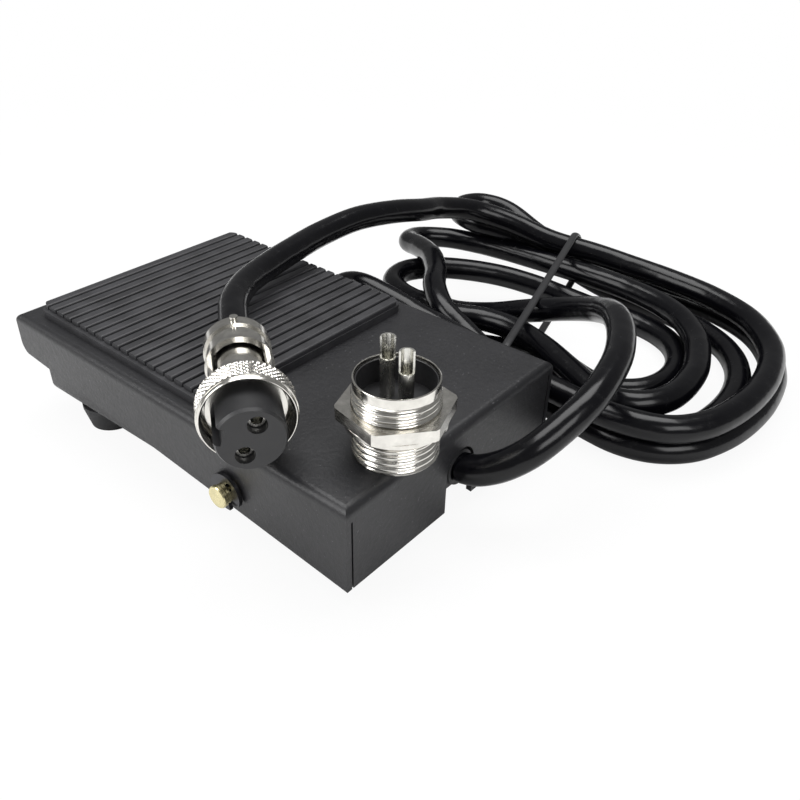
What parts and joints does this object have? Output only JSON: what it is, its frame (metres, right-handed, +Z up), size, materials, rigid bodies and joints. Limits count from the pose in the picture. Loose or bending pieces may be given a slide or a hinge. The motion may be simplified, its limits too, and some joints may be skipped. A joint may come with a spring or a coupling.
{
  "type": "pedal foot switch",
  "caption": "Rocking sheet-steel foot switch with a ribbed rubber tread, rubber feet, a cord wound in a tied hank, and a two-pole circular plug with its panel socket.",
  "frame": {"origin": "on the floor under the middle of the switch, without its cord", "axes": "+Y towards the cord end, +X towards the end of the pivot pin that carries the snap ring, +Z up"},
  "size_m": [0.1608, 0.1378, 0.0442],
  "materials": {
    "black_paint": "fine-textured semi-gloss black powder coat",
    "tread_rubber": "matt moulded rubber with a slight sheen",
    "foot_rubber": "matt moulded rubber",
    "zinc_pin": "turned steel, pale yellow zinc plate",
    "spring_steel": "blackened spring steel",
    "plated_steel": "bright zinc plate",
    "black_nylon": "moulded black nylon",
    "red_nylon": "moulded red nylon",
    "silver_contact": "silver-plated brass",
    "cord_pvc": "extruded glossy black PVC",
    "core_pvc": "extruded PVC",
    "nickel": "bright nickel plate over turned brass"
  },
  "bodies": {
    "base": {"base_tray": "black_paint", "spring_seat": "black_paint", "switch_bracket": "black_paint", "foot_toe_near": "foot_rubber", "foot_toe_far": "foot_rubber", "foot_rear_near": "foot_rubber", "foot_rear_far": "foot_rubber", "cord_grommet": "foot_rubber", "pivot_pin": "zinc_pin", "snap_ring": "spring_steel", "return_spring": "spring_steel", "foot_screws": "plated_steel", "bracket_rivets": "plated_steel", "switch_screws": "plated_steel", "clamp_screws": "plated_steel", "cord_clamp": "plated_steel", "switch_case": "black_nylon", "switch_lid": "black_nylon", "plug_insert": "black_nylon", "cord_tie": "black_nylon", "switch_terminals": "silver_contact", "plug_contacts": "silver_contact", "cord_stub": "cord_pvc", "cord_to_hank": "cord_pvc", "cord_hank": "cord_pvc", "cord_to_plug": "cord_pvc", "wire_a": "core_pvc", "wire_b": "core_pvc", "plug_sleeve": "nickel", "plug_body": "nickel", "plug_saddle": "nickel", "plug_screws": "nickel"},
    "pedal": {"pedal_cover": "black_paint", "tread_pad": "tread_rubber", "press_stud": "plated_steel"},
    "plunger": {"switch_plunger": "red_nylon"},
    "ring": {"coupling_ring": "nickel"},
    "socket": {"socket_shell": "nickel", "socket_insulator": "black_nylon", "socket_pins": "silver_contact"},
    "nut": {"socket_nut": "nickel"}
  },
  "joints": [
    {"name": "pedal_tilt", "type": "hinge", "parent": "base", "child": "pedal", "pos_m": [0, 0.0179, 0.0113], "axis": [1, 0, 0], "range_deg": [0, 3.1], "stiffness_Nm_per_rad": 3.8, "springref_deg": -3.78, "deforming": ["return_spring"]},
    {"name": "plunger_press", "type": "slide", "parent": "base", "child": "plunger", "axis": [0, 0, -1], "range_m": [0, 0.0011]},
    {"name": "ring_turn", "type": "hinge", "parent": "base", "child": "ring", "pos_m": [0.037, 0.0326, 0.03215], "axis": [0.5961, 0.8026, -0.0209], "continuous": true},
    {"name": "socket_lift", "type": "slide", "parent": "pedal", "child": "socket", "axis": [0, 0.0279, 0.9996], "range_m": [0, 0.04]},
    {"name": "nut_turn", "type": "hinge", "parent": "socket", "child": "nut", "pos_m": [0.0136, 0.04344, 0.03014], "axis": [0, 0.0279, 0.9996], "continuous": true}
  ],
  "couplings": [
    {"joint": "plunger_press", "follows": "pedal_tilt", "m_per_rad": 0.02}
  ]
}
